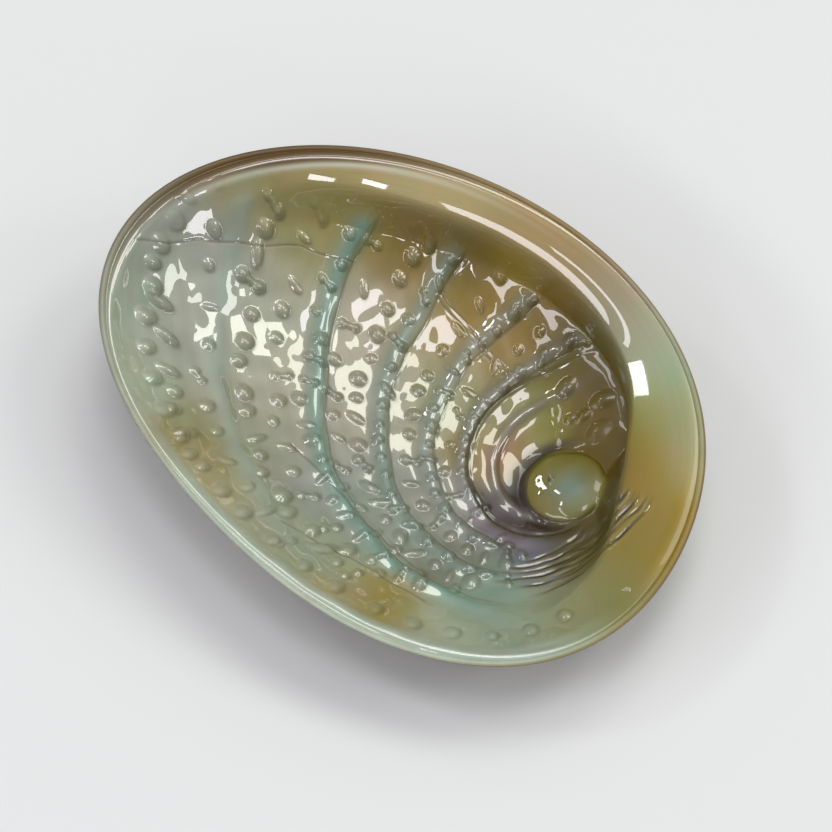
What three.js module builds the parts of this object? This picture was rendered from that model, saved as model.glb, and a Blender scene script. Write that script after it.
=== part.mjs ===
// An empty abalone shell, lying on its back with its mouth up.
//
// It is one grown piece: a bowl-shaped wall with a thin rim, a broad shelf along one long side, and a
// low spire near one end that shows inside as a round boss in a pit. The shelf overhangs the pit.
//
// Units are millimetres and degrees, +Z is up. The shell is described in its own frame, in which the
// rim lies in the plane z = 0 around the origin, x runs along the shell from the head end (-x) to the
// spire end (+x), and the shelf is on the +y side. The mesh is then tilted to the attitude in which
// the shell comes to rest, and stood on z = 0.

import * as THREE from 'three';

// Driving dimensions
const length = 150;
const width = 110;
const bowlDepth = 26.5;
const wallThickness = 2.5;
const rimThickness = 1.3;
const restTilt = { spireEndDown: 4, poreSideDown: 4 };
const wornPatchDepth = 0.8;

// Outline: an ellipse with four shallow lobes, each a share of the radius in a direction
const outlineLobes = [
  { order: 1, size: 0.031, direction: -42 },
  { order: 2, size: 0.01, direction: -35 },
  { order: 3, size: 0.03, direction: -47 },
  { order: 4, size: 0.008, direction: 41 },
];

// Bowl: deepest a little towards the spire and the shelf, with fuller sides at the spire end, where
// the wall is thicker
const deepestPoint = new THREE.Vector2(3, 9);
const bowlFullness = { plain: 2.3, direction: 35, spread: 70 };
const spireSideFullness = { inside: 0.7, back: 1.9 };
const bowlEdgeSoftness = 0.72;

// Margin: a ledge just inside the rim, as a share of the radius, and how far its outermost part curls
// down; both are largest at the head end and on the pore side
const ledge = { plain: 0.004, softness: 0.45 };
const ledgeHeadPart = { extra: 0.062, direction: 148, spread: 46 };
const ledgePorePart = { extra: 0.018, direction: -72, spread: 42 };
const rimCurl = { plain: 0.3, from: 0.955 };
const rimCurlHeadPart = { extra: 1.5, direction: 146, spread: 48 };
const rimCurlPorePart = { extra: 1, direction: -70, spread: 50 };

// Shelf: its width as a share of the radius, where it runs, and how far it overhangs the pit
const shelf = { share: 0.17, drop: 4.6, from: -22, to: 158, fade: 22, pastEdge: 1.6 };
const shelfBroadPart = { extra: 0.085, direction: 22, spread: 28 };
const shelfHeadPart = { extra: -0.05, direction: 150, spread: 25 };
const shelfCurl = 1.1;
const shelfWall = { soft: 0.13, crisp: 0.045, lead: 0.02 };
const shelfBevel = { drop: 0.75, share: 0.085, pastEdge: 1.4, from: 53, to: 68 };
const overhang = { reach: 5.5, direction: 36, spread: 34 };
const overhangSection = { lead: 0.01, full: 0.05, fadeFrom: 0.04, fadeTo: 0.22, clearOfBoss: 5 };

// Spire: a pit inside, the boss of the first whorl in it, and the swell that it makes on the back
const spireCentre = new THREE.Vector2(37, 9.6);
const pit = { depth: 2.6, radius: 14 };
const boss = { centre: new THREE.Vector2(40.3, 10.3), height: 3.4, radius: 9.5, roundness: 0.7 };
const backSwell = { centre: new THREE.Vector2(12, 15), depth: 2, radius: 24 };

// Growth ribs: arcs round the spire, each this many times further out than the one before
const rib = { first: 24, ratio: 1.41, lean: 0.42, height: 0.9, sharpness: 3, clearOfBoss: 4 };
const ribArc = { from: 118, to: 262, fade: 20 };
const ribRimFade = { from: 0.04, to: 0.2 };

// Pore ridge: the raised line along the back that carries the closed pores
const poreRidge = { share: 0.86, halfWidth: 0.05, height: 1.6, from: 190, to: 318, fade: 12 };

// Mesh: rings lie closer together near the spire, by this much from the last to the first
const spokes = 72;
const innerRings = 42;
const outerRings = 16;
const lipRings = 3;
const ringCrowding = 2.2;

const degree = Math.PI / 180;
const { min, max, hypot, atan2, exp, cos, sin } = Math;
const { clamp, smoothstep } = THREE.MathUtils;

// Angles fold to -90..270 degrees, so that the shelf's range and the pores' range each stay in one run
function foldedDegrees(angle) {
  const turned = THREE.MathUtils.euclideanModulo(angle / degree, 360);
  return turned > 270 ? turned - 360 : turned;
}

// 1 at a direction, falling off to 0 on both sides of it
function nearDirection(angle, { direction, spread }) {
  const away = THREE.MathUtils.euclideanModulo(angle / degree - direction + 180, 360) - 180;
  return exp(-((away / spread) ** 2));
}

// 1 between two values, with soft ends
function between(value, { from, to, fade }) {
  const rise = smoothstep(value, from - fade, from + fade);
  return rise * (1 - smoothstep(value, to - fade, to + fade));
}

function outlineRadius(angle) {
  let radius = 1;
  for (const lobe of outlineLobes) {
    radius += lobe.size * cos(lobe.order * (angle - lobe.direction * degree));
  }
  return radius;
}

// Where a point of the plan lies: share is 0 in the middle and 1 on the rim
function shareAndAngle(x, y) {
  const angle = atan2(y / (width / 2), x / (length / 2));
  return { share: hypot(x / (length / 2), y / (width / 2)) / outlineRadius(angle), angle };
}

function rimPoint(angle) {
  const radius = outlineRadius(angle);
  return new THREE.Vector2((radius * cos(angle) * length) / 2, (radius * sin(angle) * width) / 2);
}

// A size that is larger in one or two directions
function sizeToward(angle, plain, ...parts) {
  return parts.reduce((size, part) => size + part.extra * nearDirection(angle, part), plain);
}

function ledgeShare(angle) {
  return sizeToward(angle, ledge.plain, ledgeHeadPart, ledgePorePart);
}

// How far the margin curls down at a point of the plan
function rimCurlDrop(share, angle) {
  const drop = sizeToward(angle, rimCurl.plain, rimCurlHeadPart, rimCurlPorePart);
  return drop * clamp((share - rimCurl.from) / (1 - rimCurl.from), 0, 1) ** 2;
}

// The plain bowl's height at a point of the plan; it levels out softly where the ledge begins
function bowlHeight(x, y, depth, spireSide, ledgeWidth = 0) {
  const room = clamp(1 - shareAndAngle(x, y).share ** 2, 0, 1);
  const { share, angle } = shareAndAngle(x - deepestPoint.x * room, y - deepestPoint.y * room);
  const left = 1 - share / (1 - ledgeWidth);
  const bowlShare = 1 - (left + hypot(left, ledge.softness * ledgeWidth)) / 2;
  const fullness = bowlFullness.plain + spireSide * nearDirection(angle, bowlFullness);
  return -depth * max(1 - clamp(bowlShare, 0, 1) ** fullness, 0) ** bowlEdgeSoftness;
}

function ribHeight(x, y) {
  const fromSpire = hypot(x - spireCentre.x, y - spireCentre.y);
  const turned = atan2(y - spireCentre.y, x - spireCentre.x) / degree;
  const direction = turned < 0 ? turned + 360 : turned;
  const growth = Math.log(max(fromSpire, 1) / rib.first) + rib.lean * (direction - 180) * degree;
  const wave = 0.5 + 0.5 * cos((2 * Math.PI * growth) / Math.log(rib.ratio));
  const clearOfBoss = smoothstep(fromSpire, boss.radius + rib.clearOfBoss, rib.first);
  return rib.height * wave ** rib.sharpness * between(direction, ribArc) * clearOfBoss;
}

// The shelf's height at a point of the plan: it sinks inwards, and more steeply along its bevelled edge
function shelfHeight(share, angle, shelfShare) {
  const sunk = shelf.drop * clamp((1 - share) / shelfShare, 0, shelf.pastEdge) ** shelfCurl;
  const bevelled = smoothstep(foldedDegrees(angle), shelfBevel.from, shelfBevel.to);
  const toEdge = 1 - (share - (1 - shelfShare)) / shelfBevel.share;
  return -sunk - shelfBevel.drop * bevelled * clamp(toEdge, 0, shelfBevel.pastEdge) ** 2;
}

// A point of the inside, from a point of the plan
function insidePoint(x, y) {
  const { share, angle } = shareAndAngle(x, y);
  const shelfShare = sizeToward(angle, shelf.share, shelfBroadPart, shelfHeadPart);
  const shelfAmount = between(foldedDegrees(angle), shelf);
  const crispness = nearDirection(angle, overhang);
  const edge = 1 - shelfShare;
  const wallShare = THREE.MathUtils.lerp(shelfWall.soft, shelfWall.crisp, crispness);
  const down = smoothstep((edge + shelfWall.lead - share) / wallShare, 0, 1);

  const fromSpire = hypot(x - spireCentre.x, y - spireCentre.y);
  const fromBoss = hypot(x - boss.centre.x, y - boss.centre.y);
  const bowl = bowlHeight(x, y, bowlDepth, spireSideFullness.inside, ledgeShare(angle))
    + ribHeight(x, y) * smoothstep(1 - share, ribRimFade.from, ribRimFade.to);
  const onShelf = shelfAmount * (1 - down);
  const bossRise = boss.height * clamp(1 - (fromBoss / boss.radius) ** 2, 0, 1) ** boss.roundness;
  const z = THREE.MathUtils.lerp(bowl, shelfHeight(share, angle, shelfShare), onShelf)
    - pit.depth * exp(-((fromSpire / pit.radius) ** 2)) + bossRise - rimCurlDrop(share, angle);

  // the wall of the pit is pushed out under the shelf
  const { lead, full, fadeFrom, fadeTo, clearOfBoss } = overhangSection;
  const belowEdge = smoothstep(edge + lead - share, 0, full);
  const aboveFloor = 1 - smoothstep(edge - share, fadeFrom, fadeTo);
  const awayFromBoss = smoothstep(fromBoss, boss.radius, boss.radius + clearOfBoss);
  const pushed = overhang.reach * shelfAmount * crispness * belowEdge * aboveFloor * awayFromBoss;
  const push = pushed / max(fromSpire, 1);
  return new THREE.Vector3(
    x + push * (x - spireCentre.x),
    y + push * (y - spireCentre.y),
    z,
  );
}

// A point of the back, from a point of the plan
function backPoint(x, y) {
  const { share, angle } = shareAndAngle(x, y);
  const fromSwell = hypot(x - backSwell.centre.x, y - backSwell.centre.y);
  const along = foldedDegrees(angle) < 0 ? foldedDegrees(angle) + 360 : foldedDegrees(angle);
  const ridge = poreRidge.height * between(along, poreRidge)
    * exp(-(((share - poreRidge.share) / poreRidge.halfWidth) ** 2));
  const z = bowlHeight(x, y, bowlDepth + wallThickness, spireSideFullness.back)
    - backSwell.depth * exp(-((fromSwell / backSwell.radius) ** 2)) - ridge
    - rimCurlDrop(share, angle);
  return new THREE.Vector3(x, y, z);
}

// The inside ends a rim's thickness short of the outline
const insideScale = 1 - rimThickness / (width / 2);

function insidePointWithinRim(x, y) {
  const point = insidePoint(x / insideScale, y / insideScale);
  return new THREE.Vector3(point.x * insideScale, point.y * insideScale, point.z);
}

// Rings of points run from the boss out over the inside, over the lip and back under the shell
function shellRings() {
  const rings = [];
  const angles = Array.from({ length: spokes }, (_, i) => (2 * Math.PI * i) / spokes);
  const ringAt = (pointAt, rimScale, share) => angles.map((angle) => {
    const rim = rimPoint(angle).multiplyScalar(rimScale);
    const plan = spireCentre.clone().lerp(rim, share);
    return pointAt(plan.x, plan.y);
  });
  for (let i = 1; i <= innerRings; i += 1) {
    const step = i / innerRings;
    const share = (ringCrowding ** step - 1) / (ringCrowding - 1);
    rings.push(ringAt(insidePointWithinRim, insideScale, share));
  }
  const innerEdge = rings[rings.length - 1];
  const outerEdge = ringAt(backPoint, 1, 1);
  for (let i = 1; i <= lipRings; i += 1) {
    const turn = (Math.PI * i) / (lipRings + 1);
    const across = (1 - cos(turn)) / 2;
    const rise = (rimThickness / 2) * sin(turn);
    rings.push(innerEdge.map((point, k) => {
      const onLip = point.clone().lerp(outerEdge[k], across);
      onLip.z += rise;
      return onLip;
    }));
  }
  for (let i = outerRings; i >= 1; i -= 1) {
    rings.push(ringAt(backPoint, 1, i / outerRings));
  }
  return rings;
}

// Tilts a point from the shell's own frame to its resting attitude
const restRotation = new THREE.Quaternion()
  .setFromAxisAngle(new THREE.Vector3(1, 0, 0), restTilt.poreSideDown * degree)
  .multiply(new THREE.Quaternion().setFromAxisAngle(
    new THREE.Vector3(0, 1, 0),
    restTilt.spireEndDown * degree,
  ));

// One closed surface: a point on the boss, the rings, and a point on the back under the boss
function shellGeometry() {
  const rings = shellRings();
  const points = [
    insidePointWithinRim(spireCentre.x, spireCentre.y),
    ...rings.flat(),
    backPoint(spireCentre.x, spireCentre.y),
  ].map((point) => point.applyQuaternion(restRotation));

  // the lowest part of the back is worn to a small flat patch, on which the shell rests
  const lowest = min(...points.map((point) => point.z));
  const floor = lowest + wornPatchDepth;
  const box = new THREE.Box3().setFromPoints(points);
  const middle = box.getCenter(new THREE.Vector3());
  const positions = points.flatMap((point) => [
    point.x - middle.x,
    point.y - middle.y,
    max(point.z, floor) - floor,
  ]);

  const corner = (ring, spoke) => 1 + ring * spokes + (spoke % spokes);
  const backPole = points.length - 1;
  const triangles = [];
  for (let k = 0; k < spokes; k += 1) {
    triangles.push(0, corner(0, k), corner(0, k + 1));
    for (let ring = 1; ring < rings.length; ring += 1) {
      triangles.push(corner(ring - 1, k), corner(ring, k), corner(ring, k + 1));
      triangles.push(corner(ring - 1, k), corner(ring, k + 1), corner(ring - 1, k + 1));
    }
    triangles.push(backPole, corner(rings.length - 1, k + 1), corner(rings.length - 1, k));
  }

  const geometry = new THREE.BufferGeometry();
  geometry.setAttribute('position', new THREE.Float32BufferAttribute(positions, 3));
  geometry.setIndex(triangles);
  geometry.computeVertexNormals();
  return geometry;
}

const nacre = new THREE.MeshStandardMaterial({
  name: 'nacre',
  color: new THREE.Color(0x9c9a80),
  roughness: 0.18,
  metalness: 0,
});

const shell = new THREE.Mesh(shellGeometry(), nacre);
shell.name = 'abalone_shell';

const abalone = new THREE.Group();
abalone.add(shell);

export default abalone;
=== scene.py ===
import math

import bpy
import numpy as np
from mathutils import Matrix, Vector


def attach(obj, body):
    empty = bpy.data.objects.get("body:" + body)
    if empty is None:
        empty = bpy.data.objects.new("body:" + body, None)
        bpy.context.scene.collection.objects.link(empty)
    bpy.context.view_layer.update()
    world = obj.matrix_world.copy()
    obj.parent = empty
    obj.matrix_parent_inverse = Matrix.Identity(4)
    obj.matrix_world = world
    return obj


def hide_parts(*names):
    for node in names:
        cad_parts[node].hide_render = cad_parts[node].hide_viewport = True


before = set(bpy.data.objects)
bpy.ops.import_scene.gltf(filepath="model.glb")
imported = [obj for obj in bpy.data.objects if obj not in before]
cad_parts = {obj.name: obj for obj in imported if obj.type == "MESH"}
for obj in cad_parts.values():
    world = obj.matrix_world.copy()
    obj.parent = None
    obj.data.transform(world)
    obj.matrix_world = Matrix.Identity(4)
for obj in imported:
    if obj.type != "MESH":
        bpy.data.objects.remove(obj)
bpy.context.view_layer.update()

# The visual model of an empty abalone shell, lying on its back with its mouth up.
#
# Lengths are millimetres until the mesh is made. The shell is described in its own frame: the rim lies
# in the plane z = 0 around the origin, x runs from the head end (-x) to the spire end (+x), and the
# inner shelf is on the +y side. A point of the inside or of the back is named by its place in plan.

# -------------------- driving dimensions, as in the CAD
#
# Widths in plan are shares of the radius from the middle to the rim, and directions are in degrees. A
# size that varies round the rim is a plain size and parts of (how much more, direction, spread).

LENGTH, WIDTH = 150.0, 110.0
BOWL_DEPTH, WALL, RIM = 26.5, 2.5, 1.3
SPIRE_END_DOWN, PORE_SIDE_DOWN = 4.0, 4.0
WORN_PATCH_DEPTH = 0.8
OUTLINE_LOBES = ((1, 0.031, -42), (2, 0.010, -35), (3, 0.030, -47), (4, 0.008, 41))

# The bowl: its deepest place, how full its curve is, and how much fuller it is towards the spire
DEEPEST = (3.0, 9.0)
FULLNESS, FULLNESS_POWER = 2.3, 0.72
INSIDE_FULLNESS, BACK_FULLNESS = 0.7, 1.9
FULL_SIDE, FULL_SIDE_SPREAD = 35, 70

# The margin: a narrow ledge inside the rim, and a curl down and outwards
LEDGE, LEDGE_PARTS, LEDGE_ROUNDING = 0.004, ((0.062, 148, 46), (0.018, -72, 42)), 0.45
CURL, CURL_PARTS, CURL_START = 0.3, ((1.5, 146, 48), (1.0, -70, 50)), 0.955

# The middle of the spire, the boss of the first whorl in its pit, and the swell of the back under them
SPIRE = (37.0, 9.6)
BOSS, BOSS_RADIUS, BOSS_HEIGHT, BOSS_ROUNDNESS = (40.3, 10.3), 9.5, 3.4, 0.7
PIT_RADIUS, PIT_DEPTH = 14.0, 2.6
SWELL, SWELL_RADIUS, SWELL_DEPTH = (12.0, 15.0), 24.0, 2.0

# The shelf: where it runs, its width and slope, the wall under its edge, and the bevel on its edge
SHELF_FROM, SHELF_TO, SHELF_FADE = -22, 158, 22
SHELF_WIDTH, SHELF_WIDTH_PARTS = 0.17, ((0.085, 22, 28), (-0.05, 150, 25))
SHELF_DROP, SHELF_CURVE, SHELF_REACH = 4.6, 1.1, 1.6
SHELF_PAST_EDGE, SOFT_WALL, CRISP_WALL = 0.02, 0.13, 0.045
CRISP_SIDE, CRISP_SPREAD = 60, 62
BEVEL_DROP, BEVEL_WIDTH, BEVEL_REACH, BEVEL_FROM, BEVEL_TO = 0.75, 0.085, 1.4, 53, 68

# The hollow under the shelf's edge: how far it goes in, where it is, and how far below the edge
OVERHANG, HOLLOW_SIDE, HOLLOW_SPREAD = 5.5, 36, 34
HOLLOW_STARTS, HOLLOW_ENDS = (-0.01, 0.04), (0.04, 0.22)
HOLLOW_CLEAR_OF_BOSS = 5

# Growth ribs: arcs round the spire, each RIB_RATIO times further out than the one before. They lean
# inwards as the direction grows, and lean more far from the spire.
RIB_FIRST, RIB_RATIO = 24.0, 1.41
LEAN_NEAR, LEAN_FAR, LEAN_RISES = 0.26, 0.42, (24, 64)

# The row of pores: its first and last direction, and the least and most from one pore to the next
PORES_FROM, PORES_TO, PORE_STEPS = 196.0, 338, (6.8, 9.0)

# -------------------- the mesh

MM = 0.001
QUICK_SHARE = 1.0
INSIDE_CELLS = int(480 * QUICK_SHARE) // 4 * 4
BACK_CELLS = INSIDE_CELLS // 2
LIP_STEPS = 6
NACRE, LIP, CRUST = 0, 1, 2  # the mesh's material numbers
random = np.random.default_rng(11)


# -------------------- small helpers

def smooth(low, high, x):
    u = np.clip((x - low) / (high - low), 0, 1)
    return u * u * (3 - 2 * u)


def between(x, low, high, fade):
    return smooth(low - fade, low + fade, x) * (1 - smooth(high - fade, high + fade, x))


def bell(x, middle, half_width):
    return np.exp(-(((x - middle) / half_width) ** 2))


def mix(a, b, share):
    return a + (b - a) * share


def near_direction(angle, degrees, spread):
    away = (np.degrees(angle) - degrees + 180) % 360 - 180
    return np.exp(-((away / spread) ** 2))


def folded(angle):
    """Degrees from -90 to 270."""
    turned = np.degrees(angle) % 360
    return np.where(turned > 270, turned - 360, turned)


def unwound(direction, start):
    """A direction from 0 to 360 as degrees from start to start + 360."""
    return np.where(direction < start, direction + 360, direction)


def size_toward(angle, plain, parts):
    """A plain size, and more of it near some directions: parts of (how much more, direction, spread)."""
    size = plain
    for more, degrees, spread in parts:
        size = size + more * near_direction(angle, degrees, spread)
    return size


# -------------------- the shell's plain shape, as in the CAD

def outline(angle):
    radius = 1.0
    for order, size, direction in OUTLINE_LOBES:
        radius = radius + size * np.cos(order * (angle - math.radians(direction)))
    return radius


def share_and_angle(x, y):
    angle = np.arctan2(y / (WIDTH / 2), x / (LENGTH / 2))
    return np.hypot(x / (LENGTH / 2), y / (WIDTH / 2)) / outline(angle), angle


def plan_point(share, angle):
    radius = share * outline(angle)
    return radius * np.cos(angle) * LENGTH / 2, radius * np.sin(angle) * WIDTH / 2


def bowl_height(x, y, depth, spire_side, ledge=0.0):
    """Height of a bowl below the rim: steep at the margin, past a ledge, and fuller on the spire side."""
    room = np.clip(1 - share_and_angle(x, y)[0] ** 2, 0, 1)
    share, angle = share_and_angle(x - DEEPEST[0] * room, y - DEEPEST[1] * room)
    left = 1 - share / (1 - ledge)
    soft = LEDGE_ROUNDING * ledge
    share = 1 - (left + np.sqrt(left**2 + soft**2)) / 2
    fullness = FULLNESS + spire_side * near_direction(angle, FULL_SIDE, FULL_SIDE_SPREAD)
    return -depth * np.maximum(1 - np.clip(share, 0, 1) ** fullness, 0) ** FULLNESS_POWER


def from_spire(x, y):
    """Distance and direction, in degrees from 0 to 360, from the middle of the spire."""
    dx, dy = x - SPIRE[0], y - SPIRE[1]
    return np.hypot(dx, dy), np.degrees(np.arctan2(dy, dx)) % 360


def from_boss(x, y):
    return np.hypot(x - BOSS[0], y - BOSS[1])


def rib_lean(r):
    return mix(LEAN_NEAR, LEAN_FAR, smooth(*LEAN_RISES, r))


def growth(x, y):
    """The rib number at a point: whole numbers are rib crests, and it grows outwards."""
    r, direction = from_spire(x, y)
    r = np.maximum(r, 1)
    return (np.log(r / RIB_FIRST) + rib_lean(r) * np.radians(direction - 180)) / math.log(RIB_RATIO)


def spiral_point(number, direction):
    """The place in plan on arc `number` in a direction from the spire, and its distance from it."""
    r = RIB_FIRST * RIB_RATIO ** number
    for _ in range(12):
        r = RIB_FIRST * RIB_RATIO ** number * math.exp(-rib_lean(r) * math.radians(direction - 180))
    turn = math.radians(direction)
    return SPIRE[0] + r * math.cos(turn), SPIRE[1] + r * math.sin(turn), r


def rim_curl(share, angle):
    """How far the margin curls down and outwards: most at the head end and on the pore side."""
    near_rim = np.clip((share - CURL_START) / (1 - CURL_START), 0, 1)
    return size_toward(angle, CURL, CURL_PARTS) * near_rim**2


def shelf_parts(x, y):
    """Share of the radius and direction of a point, and the shelf's width and amount in that direction."""
    share, angle = share_and_angle(x, y)
    width = size_toward(angle, SHELF_WIDTH, SHELF_WIDTH_PARTS)
    return share, angle, width, between(folded(angle), SHELF_FROM, SHELF_TO, SHELF_FADE)


def shelf_share(share, width, amount):
    """0 on the open floor and 1 on the shelf."""
    return amount * smooth(-0.02, 0.03, share - (1 - width))


def edge_hollow(angle):
    return near_direction(angle, HOLLOW_SIDE, HOLLOW_SPREAD)


def inside_plain(x, y):
    """Places of the lined side without its relief: bowl, shelf, pit, boss and the hollow under the edge."""
    share, angle, width, amount = shelf_parts(x, y)
    edge = 1 - width
    wall = mix(SOFT_WALL, CRISP_WALL, near_direction(angle, CRISP_SIDE, CRISP_SPREAD))
    down = smooth(0, 1, (edge + SHELF_PAST_EDGE - share) / wall)
    shelf_z = -SHELF_DROP * np.clip((1 - share) / width, 0, SHELF_REACH) ** SHELF_CURVE
    bevel = smooth(BEVEL_FROM, BEVEL_TO, folded(angle))
    toward_edge = np.clip(1 - (share - edge) / BEVEL_WIDTH, 0, BEVEL_REACH)
    shelf_z = shelf_z - BEVEL_DROP * bevel * toward_edge**2
    bowl = bowl_height(x, y, BOWL_DEPTH, INSIDE_FULLNESS, size_toward(angle, LEDGE, LEDGE_PARTS))
    z = mix(bowl, shelf_z, amount * (1 - down))
    r, _ = from_spire(x, y)
    z = z - PIT_DEPTH * bell(r, 0, PIT_RADIUS)
    out = from_boss(x, y)
    z = z + BOSS_HEIGHT * np.clip(1 - (out / BOSS_RADIUS) ** 2, 0, 1) ** BOSS_ROUNDNESS
    below = smooth(*HOLLOW_STARTS, edge - share) * (1 - smooth(*HOLLOW_ENDS, edge - share))
    clear = smooth(BOSS_RADIUS, BOSS_RADIUS + HOLLOW_CLEAR_OF_BOSS, out)
    push = OVERHANG * amount * edge_hollow(angle) * below * clear / np.maximum(r, 1)
    return np.stack([x + push * (x - SPIRE[0]), y + push * (y - SPIRE[1]), z], -1)


def back_plain(x, y):
    z = bowl_height(x, y, BOWL_DEPTH + WALL, BACK_FULLNESS)
    swell = np.hypot(x - SWELL[0], y - SWELL[1])
    return np.stack([x, y, z - SWELL_DEPTH * bell(swell, 0, SWELL_RADIUS)], -1)


def tilted(points):
    """From the shell's own frame to the attitude in which it rests."""
    a, b = math.radians(SPIRE_END_DOWN), math.radians(PORE_SIDE_DOWN)
    x, y, z = points[..., 0], points[..., 1], points[..., 2]
    x, z = x * math.cos(a) + z * math.sin(a), z * math.cos(a) - x * math.sin(a)
    y, z = y * math.cos(b) - z * math.sin(b), y * math.sin(b) + z * math.cos(b)
    return np.stack([x, y, z], -1)


# -------------------- relief of the inside

# Ribs: number, height, half width, first and last direction from the spire
RIBS = (
    (0, 0.9, 1.5, 95, 240), (1, 0.9, 1.8, 112, 272), (2, 1.0, 2.0, 125, 280),
    (3, 1.3, 2.3, 138, 278), (4, 0.5, 2.6, 150, 250),
)
# How they fade at their ends, how much wider their outer side is, and how they waver and swell
RIB_FADE, RIB_OUTER_SIDE, RIB_WAVER, RIB_SWELLING = 14, 1.35, (0.026, 0.010), (0.18, 0.08)
# The step lines at their inner feet: how many ribs have one, its place in half widths, its width and depth
RIBS_WITH_LINES, RIB_LINE_PLACE, RIB_LINE_WIDTH, RIB_LINE_DEPTH = 4, 1.15, 0.34, 0.2

# Rows of beads: place between ribs, radius, first and last direction, spacing, height over radius
BEAD_ROWS = (
    (0.02, 1.70, 98, 246, 5.2, 0.36), (0.50, 1.45, 112, 268, 7.0, 0.42), (0.98, 1.60, 108, 290, 4.4, 0.46),
    (1.42, 1.75, 118, 284, 5.6, 0.46), (2.02, 1.65, 122, 296, 5.0, 0.46), (2.38, 1.95, 134, 280, 5.8, 0.46),
    (2.76, 1.75, 140, 272, 7.0, 0.40), (3.14, 1.80, 140, 268, 5.4, 0.46), (3.46, 1.90, 146, 256, 7.5, 0.32),
    (3.80, 2.15, 150, 250, 6.0, 0.46), (4.12, 1.80, 152, 240, 7.5, 0.28), (4.46, 2.30, 158, 218, 6.4, 0.46),
)
ROUND_UP_TO, LONG_UP_TO = 0.56, 0.80  # shares of round beads, then of long ones; the rest are joined pairs
LOOSE_BEADS = ((26, 30, 2.2), (35, 29, 2.2), (38, 23.5, 2.0), (33.5, 25.5, 1.5), (31, 24.6, 1.3))
LUMP_ROUNDNESS = 1.35

# The row of closed pores inside: share of the radius, first radius, height over radius, taper along it
KNOB_ROW, KNOB_RADIUS, KNOB_RISE, KNOB_TAPER = 0.872, 2.3, 0.46, 0.985

# Growth lines beside the boss: logarithm of the distance at the spire end, strength, last direction,
# half width
GROOVES = (
    (2.58, 0.9, 292, 0.40), (2.65, 0.7, 306, 0.30), (2.72, 1.0, 286, 0.44), (2.78, 0.7, 308, 0.30),
    (2.84, 1.0, 290, 0.44), (2.90, 0.8, 302, 0.32), (2.96, 1.0, 284, 0.42), (3.03, 0.7, 308, 0.32),
    (3.10, 0.9, 294, 0.40), (3.17, 0.7, 310, 0.32), (3.24, 0.8, 300, 0.36),
)
# Where they begin to fan out, how strongly, and how much less strongly further out
GROOVES_OPEN_AT, GROOVE_FLARE, GROOVE_FLARE_LOSS = 338, 0.62, 0.5
GROOVE_DEPTH, GROOVE_CREST = 0.36, 0.08

# The seam round the boss: its radius at a direction, how fast it winds in, where it runs, its depth, the
# terrace inside it and the low ridge on the terrace
SEAM_RADIUS, SEAM_STARTS_AT, SEAM_WINDING = 23.0, 173, 0.225
SEAM_FROM, SEAM_TO, SEAM_FADE = 118, 372, 24
SEAM_DEPTH, TERRACE_DEPTH, TERRACE_WIDTH = 0.4, 0.95, 8
INNER_RIDGE, INNER_RIDGE_PLACE, INNER_RIDGE_WIDTH = 0.6, -6.4, 1.6
BOSS_MOAT = 0.35

# Hairline cracks: runs from one place in plan to another
CRACKS = (
    (-72, -9, -62, 4), (-62, 4, -45, 19), (-45, 19, -33, 24.5), (-13, 32, 13, 26), (-13, 30.8, 12, 24.8),
    (-17, -21, 9, -27), (9, -27, 31, -30), (-4, -41, 18, -37), (18, -37, 34, -36),
)
CRACK_DEPTH, CRACK_HALF_WIDTH, CRACK_WAVER = 0.12, 0.24, 0.2

# Slow waves in the nacre: height, wavelength, direction, start
WAVES = (
    (0.20, 15.0, 20, 0.3), (0.16, 11.0, 75, 2.1), (0.12, 8.3, 130, 4.0), (0.07, 5.7, 165, 1.2),
    (0.05, 4.3, 50, 5.1),
)
WAVE_SHARE = 0.5

# The relief goes no deeper than this, and it dies out at the margin and before the head end's crest
DEEPEST_RELIEF = 1.15
MARGIN_FADE, CREST_FADE, CREST_SIDE, CREST_SPREAD = (0.955, 0.985), (0.87, 0.92), 146, 44


def rib_relief(x, y):
    """Height of the ribs, how much a point lies on each crest, and the step lines at their feet."""
    r, direction = from_spire(x, y)
    turn = np.radians(direction)
    number = growth(x, y)
    height, lines = np.zeros_like(x), np.zeros_like(x)
    crests = []
    for n, tall, half_width, start, end in RIBS:
        waver = RIB_WAVER[0] * np.sin(9 * turn + 2 * n) + RIB_WAVER[1] * np.sin(23 * turn + n)
        away = r * (number - n - waver) * math.log(RIB_RATIO)
        slow = 1 + RIB_SWELLING[0] * np.sin(15 * turn + 3 * n) + RIB_SWELLING[1] * np.sin(37 * turn)
        side = half_width * mix(1, RIB_OUTER_SIDE, away > 0)
        crest = bell(away, 0, side) * between(direction, start, end, RIB_FADE)
        line = bell(away, -RIB_LINE_PLACE * half_width, RIB_LINE_WIDTH) * (n < RIBS_WITH_LINES)
        line = line * between(direction, start + 6, end, 20)
        height = height + tall * slow * crest - RIB_LINE_DEPTH * line
        crests.append(crest)
        lines = np.maximum(lines, line)
    return height, crests, lines


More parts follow.
